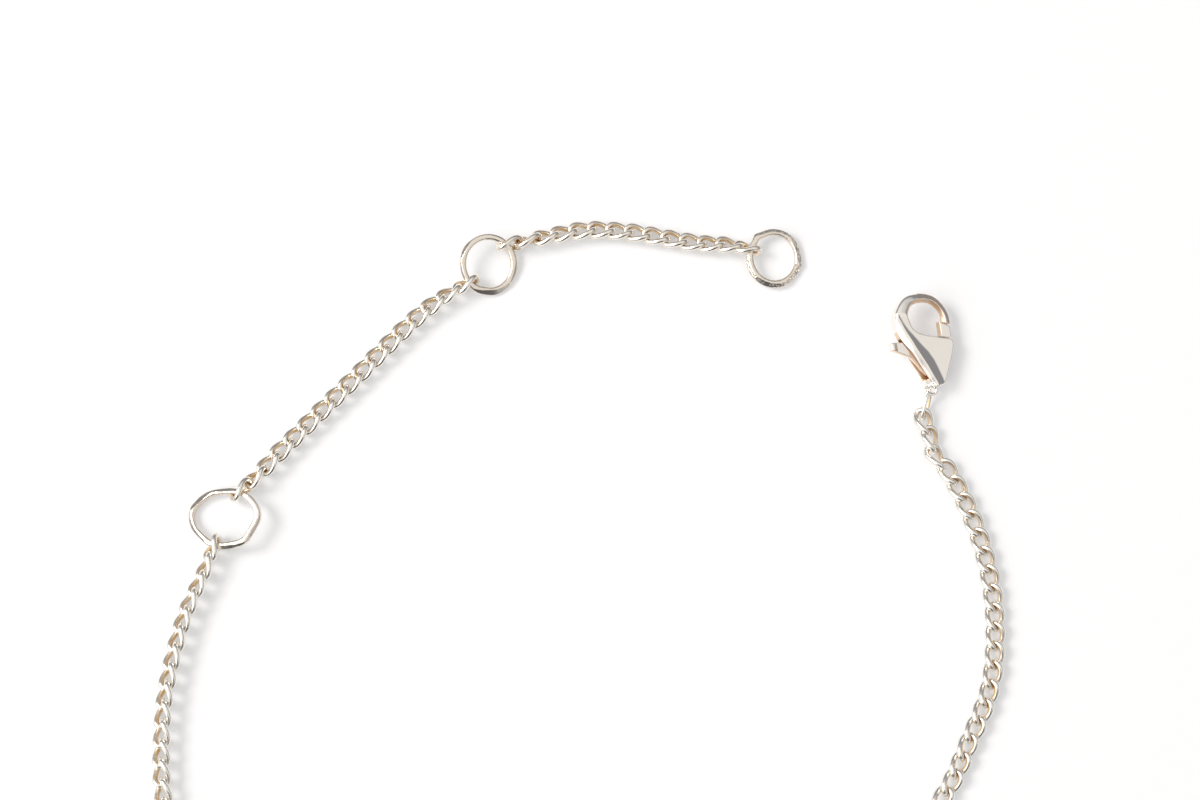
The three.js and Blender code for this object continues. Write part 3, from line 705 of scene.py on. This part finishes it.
def makeJumpRing():
    sections = []
    for i in range(wireMesh["jumpRing"]):
        turn = 2 * math.pi * i / wireMesh["jumpRing"]
        cosine, sine = math.cos(turn), math.sin(turn)
        outward = (jumpLine * jump["halfHeight"] * cosine + jumpUp * jump["halfLength"] * sine).normalized()
        middle = jumpMiddle + jumpLine * jump["halfLength"] * cosine + jumpUp * jump["halfHeight"] * sine
        sections.append(wireSection(middle, outward, jumpSide, jump["wire"]))
    mesh = skinMesh("jump_ring", sections, True)
    # faces that look to the jump ring's middle take warm film and a painted shade
    setFilmAndShade(mesh, lambda spot, normal: max(0, normal.dot((jumpMiddle - spot).normalized())))
    return finishPiece("jump_ring_wire", mesh, wireSilver, "bracelet", "jump_ring")


makeJumpRing()
print("jump ring made")


# Where each run of chain lies: x, y, and how far a link rolls about its own length, in degrees.
outerRoute = [(12.5, 29.25, 45), (9.8, 29.45, 30), (7.0, 29.9, 30), (3.45, 30.46, 30), (0.35, 30.55, 30),
              (-3.0, 29.95, 50)]
innerRoute = [(-11.05, 25.05, 50), (-13.25, 23.45, 25), (-19.3, 17.4, 20), (-24.85, 11.75, 25),
              (-26.45, 9.98, 45)]
mainRoute = [(-31.0, 1.5, 55), (-32.4, -1.9, 45), (-33.7, -7.6, 45), (-33.985, -11.65, 40),
             (-33.75, -16.3, 35), (-32.6, -20.5, 30), (-29.5, -25.0, 25), (-23.5, -28.7, 20),
             (-14, -30.25, 20), (-2, -30.39, 20), (10, -28.6, 20), (19, -25.2, 20), (25.3, -21.0, 20),
             (29.4, -16.5, 20), (31.6, -12.05, 15), (33.35, -7.85, 10), (33.92, -3.45, 10), (33.6, 1.4, 10),
             (32.4, 5.85, 10), (30.4, 10.1, 15), (29.35, 11.35, 40), (28.97, 12.85, 40)]
reaches = {"ring": 0.31, "jump": 0.3}  # how far inside a ring's wire the end link's middle lies
routeSteps = 24  # steps between two places of a route


def heldAt(ring, angle, roll):
    spot = ringPoint(ring, holds[angle])
    return (spot.x, spot.y, roll)


def routeMesh(name, rows):
    path = smoothPath(rows, routeSteps)
    mesh = bpy.data.meshes.new(name)
    mesh.from_pydata([(x, y, 0) for x, y, roll in path], [(i, i + 1) for i in range(len(path) - 1)], [])
    lie = mesh.attributes.new("lie", "FLOAT_VECTOR", "POINT")
    for i, (x, y, roll) in enumerate(path):
        turn = math.radians(roll)
        lie.data[i].vector = (turn, restHeight(turn) + link["lift"], 0)
    length = sum(math.dist(a[:2], b[:2]) for a, b in zip(path, path[1:]))
    return mesh, length


def curbChainTree():
    tree = bpy.data.node_groups.new("curb_chain", "GeometryNodeTree")
    inputs = {"Route": ("Geometry", None), "Link count": ("Int", None), "First": ("Float", None),
              "Last": ("Float", None), "Half length": ("Float", link["halfLength"]),
              "Half width": ("Float", link["halfWidth"]), "Fullness": ("Float", link["fullness"]),
              "End twist": ("Float", math.radians(link["endTwist"])),
              "Wire radius": ("Float", link["wireRadius"]), "Wire steps": ("Int", link["wireSteps"]),
              "Wire sides": ("Int", link["wireSides"]), "Wobble": ("Float", math.radians(link["wobble"])),
              "Film": ("Float", None), "Seed": ("Int", None), "Silver": ("Material", None)}
    for name, (kind, value) in inputs.items():
        socket = tree.interface.new_socket(name, in_out="INPUT", socket_type="NodeSocket" + kind)
        if value is not None:
            socket.default_value = value
    tree.interface.new_socket("Chain", in_out="OUTPUT", socket_type="NodeSocketGeometry")
    given = addNode(tree, "NodeGroupInput").outputs

    # one link: a circle squared off towards a box, then twisted end against end
    circle = addNode(tree, "GeometryNodeCurvePrimitiveCircle", None, {0: link["outlineSteps"], 4: 1.0})
    position = addNode(tree, "GeometryNodeInputPosition")
    around = addNode(tree, "ShaderNodeSeparateXYZ", None, {0: position})
    power = addNode(tree, "ShaderNodeMath", {"operation": "DIVIDE"}, {0: 2.0, 1: given["Fullness"]})
    squared = []
    for side in around.outputs[:2]:
        sign = addNode(tree, "ShaderNodeMath", {"operation": "SIGN"}, {0: side})
        size = addNode(tree, "ShaderNodeMath", {"operation": "ABSOLUTE"}, {0: side})
        full = addNode(tree, "ShaderNodeMath", {"operation": "POWER"}, {0: size, 1: power})
        squared.append(addNode(tree, "ShaderNodeMath", {"operation": "MULTIPLY"}, {0: sign, 1: full}))
    along, across = squared
    length, width, twist = [
        addNode(tree, "ShaderNodeMath", {"operation": "MULTIPLY"}, {0: given[size], 1: share})
        for size, share in (("Half length", along), ("Half width", across), ("End twist", along))]
    twisted = {0: length}
    for axis, operation in ((1, "COSINE"), (2, "SINE")):
        share = addNode(tree, "ShaderNodeMath", {"operation": operation}, {0: twist})
        twisted[axis] = addNode(tree, "ShaderNodeMath", {"operation": "MULTIPLY"}, {0: width, 1: share})
    shape = addNode(tree, "ShaderNodeCombineXYZ", None, twisted)
    bent = addNode(tree, "GeometryNodeSetPosition", None, {0: circle, 2: shape})
    even = addNode(tree, "GeometryNodeResampleCurve", None, {0: bent, 2: given["Wire steps"]})
    section = addNode(tree, "GeometryNodeCurvePrimitiveCircle", None,
                      {0: given["Wire sides"], 4: given["Wire radius"]})
    wire = addNode(tree, "GeometryNodeCurveToMesh", None, {0: even, 1: section})
    # the sides of the wire that look to the link's middle take the warm film, and a painted shade where shade
    # falls inside the link
    inward = addNode(tree, "ShaderNodeVectorMath", {"operation": "NORMALIZE"},
                     {0: addNode(tree, "GeometryNodeInputPosition")})
    facing = addNode(tree, "ShaderNodeVectorMath", {"operation": "DOT_PRODUCT"},
                     {0: addNode(tree, "GeometryNodeInputNormal"), 1: inward}).outputs[1]
    # inward-looking wire is painted warmer and darker: film plus painted shade
    share = addNode(tree, "ShaderNodeMapRange", None,
                    {0: facing, 1: link["filmAndShadeFrom"], 2: link["filmAndShadeFull"], 3: 0.0, 4: 1.0})
    filmAndShadeLevel = addNode(tree, "ShaderNodeMath", {"operation": "MAXIMUM"}, {0: share, 1: given["Film"]})
    marked = addNode(tree, "GeometryNodeStoreNamedAttribute", {"data_type": "FLOAT", "domain": "POINT"},
                     {0: wire, 2: "film_and_shade", 3: filmAndShadeLevel})

    # the places of the links along the route
    route = addNode(tree, "GeometryNodeMeshToCurve", None, {0: given["Route"]})
    number = addNode(tree, "GeometryNodeInputIndex")
    run = addNode(tree, "ShaderNodeMath", {"operation": "SUBTRACT"}, {0: given["Last"], 1: given["First"]})
    gaps = addNode(tree, "ShaderNodeMath", {"operation": "SUBTRACT"}, {0: given["Link count"], 1: 1.0})
    step = addNode(tree, "ShaderNodeMath", {"operation": "DIVIDE"}, {0: run, 1: gaps})
    distance = addNode(tree, "ShaderNodeMath", {"operation": "MULTIPLY_ADD"},
                       {0: number, 1: step, 2: given["First"]})
    lie = addNode(tree, "GeometryNodeInputNamedAttribute", {"data_type": "FLOAT_VECTOR"}, {0: "lie"})
    sample = addNode(tree, "GeometryNodeSampleCurve",
                     {"data_type": "FLOAT_VECTOR", "mode": "LENGTH", "use_all_curves": True},
                     {0: route, 1: lie, 3: distance})
    rollHeight, spot, heading = [addNode(tree, "ShaderNodeSeparateXYZ", None, {0: output}).outputs
                                 for output in sample.outputs[:3]]
    raised = addNode(tree, "ShaderNodeCombineXYZ", None, {0: spot[0], 1: spot[1], 2: rollHeight[1]})
    headingTurn = addNode(tree, "ShaderNodeMath", {"operation": "ARCTAN2"}, {0: heading[1], 1: heading[0]})
    least = addNode(tree, "ShaderNodeMath", {"operation": "MULTIPLY"}, {0: given["Wobble"], 1: -1.0})
    turned = {}
    for axis, steady, offset in ((0, rollHeight[0], 0), (2, headingTurn, link["headingSeed"])):
        seed = addNode(tree, "ShaderNodeMath", {"operation": "ADD"}, {0: given["Seed"], 1: offset})
        wobble = addNode(tree, "FunctionNodeRandomValue", {"data_type": "FLOAT"},
                         {2: least, 3: given["Wobble"], 8: seed}).outputs[1]
        turned[axis] = addNode(tree, "ShaderNodeMath", {"operation": "ADD"}, {0: steady, 1: wobble})
    turn = addNode(tree, "ShaderNodeCombineXYZ", None, turned)
    points = addNode(tree, "GeometryNodePoints", None, {0: given["Link count"], 1: raised})
    placed = addNode(tree, "GeometryNodeInstanceOnPoints", None, {0: points, 2: marked, 5: turn})
    real = addNode(tree, "GeometryNodeRealizeInstances", None, {0: placed})
    smooth = addNode(tree, "GeometryNodeSetShadeSmooth", None, {0: real})
    dressed = addNode(tree, "GeometryNodeSetMaterial", None, {0: smooth, 2: given["Silver"]})
    addNode(tree, "NodeGroupOutput", None, {0: dressed})
    return tree


curbChain = curbChainTree()


def makeChain(name, route, first, last, count, run, seed, node):
    carrier = linked(name + "_route", route)
    growth = carrier.modifiers.new("links", "NODES")
    growth.node_group = curbChain
    sockets = {item.name: item.identifier for item in curbChain.interface.items_tree
               if item.item_type == "SOCKET"}
    growth[sockets["Link count"]] = count
    growth[sockets["First"]] = first
    growth[sockets["Last"]] = last
    growth[sockets["Film"]] = run["film"]
    growth[sockets["Seed"]] = seed
    growth[sockets["Silver"]] = run["silver"]
    mesh = bakedMesh(carrier, name)
    print(name, count, "links", len(mesh.polygons), "faces")
    return finishPiece(name, mesh, run["silver"], "bracelet", node)


outerMesh, outerLength = routeMesh(
    "outer_route", [heldAt(endRing, "end", ringRoll["start"]), *outerRoute,
                    heldAt(middleRing, "middleRight", ringRoll["end"])])
innerMesh, innerLength = routeMesh(
    "inner_route", [heldAt(middleRing, "middleLeft", ringRoll["start"]), *innerRoute,
                    heldAt(thirdRing, "thirdTop", ringRoll["end"])])
jumpWire = jumpMiddle + jumpLine * jump["halfLength"]
mainMesh, mainLength = routeMesh(
    "main_route", [heldAt(thirdRing, "thirdBottom", ringRoll["start"]), *mainRoute,
                   (jumpWire.x, jumpWire.y, ringRoll["last"])])

# film: how much warm film lies all over a run's links
runs = {"outer": {"film": 0.24, "silver": wireSilver}, "inner": {"film": 0.14, "silver": wireSilver},
        "main": {"film": 0.06, "silver": wornSilver}}
linkSeeds = {"outer": 3, "inner": 5, "ringSide": 11, "claspSide": 17}
seamStep = 1.452  # between the two halves of the main chain, which only meet


def countFor(distance):
    return round(distance / link["pitch"]) + 1


outerLast = outerLength - reaches["ring"]
innerLast = innerLength - reaches["ring"]
mainLast = mainLength - reaches["jump"]
mainCount = countFor(mainLast - reaches["ring"] - seamStep + link["pitch"])
mainStep = (mainLast - reaches["ring"] - seamStep) / (mainCount - 2)
leftCount = mainCount // 2
leftLast = reaches["ring"] + (leftCount - 1) * mainStep
makeChain("outer_extension_links", outerMesh, reaches["ring"], outerLast,
          countFor(outerLast - reaches["ring"]), runs["outer"], linkSeeds["outer"], "outer_extension_chain")
makeChain("inner_extension_links", innerMesh, reaches["ring"], innerLast,
          countFor(innerLast - reaches["ring"]), runs["inner"], linkSeeds["inner"], "inner_extension_chain")
makeChain("main_links_ring_side", mainMesh, reaches["ring"], leftLast, leftCount, runs["main"],
          linkSeeds["ringSide"], "main_chain_ring_side")
makeChain("main_links_clasp_side", mainMesh.copy(), leftLast + seamStep, mainLast, mainCount - leftCount,
          runs["main"], linkSeeds["claspSide"], "main_chain_clasp_side")
print("chains made")


# The table's size is in metres. fibreScale: how many of the paper's fibres go to the metre.
table = {"size": 3.0, "colour": "#D3D4D6", "glow": 0.298, "glowColour": "#FFFFFF", "fibreScale": 900.0,
         "fibreDetail": 3.0, "smooth": 0.75, "rough": 0.95, "shine": 0.2}
# overhead and near: the brightness above the table and close over it. darkUpTo and brightFrom: the heights
# between which it changes. towardsRight and away: how far the change tips. window: the bright patch that the
# silver mirrors. viewer: the dark shape of whoever leans over the table.
sky = {"overhead": 0.9, "near": 0.27, "darkUpTo": 0.2, "brightFrom": 0.84, "towardsRight": -0.08,
       "away": -0.3, "warm": "#FFFBF5", "cool": "#F2F5FF",
       "windowGlow": 0.8, "windowAzimuth": 198, "windowElevation": 42, "windowEdge": [0.91, 0.97],
       "viewerGlow": 0.1, "viewerAzimuth": -90, "viewerElevation": 28, "viewerEdge": [0.8, 0.94]}
# The lamps' sizes and distances are in metres.
softLights = {
    "window": {"size": 0.7, "distance": 1.6, "azimuth": 166, "elevation": 43, "power": 14.0,
               "warm": "#FFFBF8"},
    "white_card": {"size": 1.1, "distance": 1.6, "azimuth": 210, "elevation": 40, "power": 3.4,
                   "warm": "#FFFDFB"},
}
# The camera's target and distance are in millimetres, nearest is in metres.
camera = {"target": (1.6, 16.2, 0.0), "distance": 220, "elevation": 80, "lens": 79.2, "sensor": 36,
          "nearest": 0.01}


def makeTable():
    half = table["size"] / 2
    mesh = meshFrom("table_top", [(-half, -half, 0), (half, -half, 0), (half, half, 0), (-half, half, 0)],
                    [(0, 1, 2, 3)])
    # a matt white sheet over a light table: it glows a little, so what lies on it has pale shadows
    material = bpy.data.materials.new("matte_white_light_table")
    material.use_nodes = True
    tree = material.node_tree
    tree.nodes.clear()
    place = addNode(tree, "ShaderNodeTexCoord").outputs["Object"]
    fibre = addNode(tree, "ShaderNodeTexNoise", None,
                    {"Vector": place, "Scale": table["fibreScale"], "Detail": table["fibreDetail"]})
    rough = addNode(tree, "ShaderNodeMapRange", None,
                    {0: fibre.outputs["Fac"], 3: table["smooth"], 4: table["rough"]})
    shader = addNode(tree, "ShaderNodeBsdfPrincipled", None,
                     {"Base Color": linearColour(table["colour"]), "Roughness": rough,
                      "Specular IOR Level": table["shine"],
                      "Emission Color": linearColour(table["glowColour"]),
                      "Emission Strength": table["glow"]})
    addNode(tree, "ShaderNodeOutputMaterial", None, {"Surface": shader})
    mesh.materials.append(material)
    top = linked("table_top", mesh)


def wayTo(azimuth, elevation):
    turn, lift = math.radians(azimuth), math.radians(elevation)
    return Vector((math.cos(turn) * math.cos(lift), math.sin(turn) * math.cos(lift), math.sin(lift)))


def makeSky():
    world = bpy.data.worlds.new("soft_white_room")
    bpy.context.scene.world = world
    world.use_nodes = True
    tree = world.node_tree
    tree.nodes.clear()
    direction = addNode(tree, "ShaderNodeTexCoord").outputs["Generated"]
    way = addNode(tree, "ShaderNodeSeparateXYZ", None, {0: direction}).outputs
    tilt = way[2]
    for axis, tip in enumerate((sky["towardsRight"], sky["away"])):
        tilt = addNode(tree, "ShaderNodeMath", {"operation": "MULTIPLY_ADD"}, {0: way[axis], 1: tip, 2: tilt})
    room = addNode(tree, "ShaderNodeMapRange", {"interpolation_type": "SMOOTHSTEP"},
                   {0: tilt, 1: sky["darkUpTo"], 2: sky["brightFrom"], 3: sky["near"], 4: sky["overhead"]})
    facingWindow, facingViewer = [
        addNode(tree, "ShaderNodeVectorMath", {"operation": "DOT_PRODUCT"},
                {0: direction, 1: wayTo(sky[patch + "Azimuth"], sky[patch + "Elevation"])}).outputs[1]
        for patch in ("window", "viewer")]
    window = addNode(tree, "ShaderNodeMapRange", {"interpolation_type": "SMOOTHSTEP"},
                     {0: facingWindow, 1: sky["windowEdge"][0], 2: sky["windowEdge"][1], 3: 0.0,
                      4: sky["windowGlow"]})
    share = addNode(tree, "ShaderNodeMath", {"operation": "ADD"}, {0: room, 1: window})
    glow = addNode(tree, "ShaderNodeMapRange", {"interpolation_type": "SMOOTHSTEP"},
                   {0: facingViewer, 1: sky["viewerEdge"][0], 2: sky["viewerEdge"][1], 3: share,
                    4: sky["viewerGlow"]})
    # the room's shade is cooler than its light
    tint = addNode(tree, "ShaderNodeMix", {"data_type": "RGBA"},
                   {0: glow, 6: linearColour(sky["cool"]), 7: linearColour(sky["warm"])}).outputs[2]
    light = addNode(tree, "ShaderNodeBackground", None, {"Color": tint, "Strength": glow})
    addNode(tree, "ShaderNodeOutputWorld", None, {"Surface": light})


def makeSoftLight(name, choice):
    aim = Vector(camera["target"]) * millimetre
    away = wayTo(choice["azimuth"], choice["elevation"])
    data = bpy.data.lights.new(name, "AREA")
    data.shape = "DISK"
    data.size = choice["size"]
    data.energy = choice["power"]
    data.color = linearColour(choice["warm"])[:3]
    lamp = bpy.data.objects.new(name, data)
    lamp.location = aim + away * choice["distance"]
    lamp.rotation_euler = (-away).to_track_quat("-Z", "Y").to_euler()
    bpy.context.scene.collection.objects.link(lamp)


def makeCamera():
    data = bpy.data.cameras.new("camera")
    data.lens = camera["lens"]
    data.sensor_width = camera["sensor"]
    data.clip_start = camera["nearest"]
    eye = bpy.data.objects.new("camera", data)
    lift = math.radians(camera["elevation"])
    look = Vector((0, math.cos(lift), -math.sin(lift)))
    eye.location = (Vector(camera["target"]) - look * camera["distance"]) * millimetre
    eye.rotation_euler = look.to_track_quat("-Z", "Y").to_euler()
    bpy.context.scene.collection.objects.link(eye)
    bpy.context.scene.camera = eye


makeTable()
makeSky()
for name, choice in softLights.items():
    makeSoftLight(name, choice)
makeCamera()
bpy.context.scene.view_settings.view_transform = "Standard"
print("table, light and camera ready")
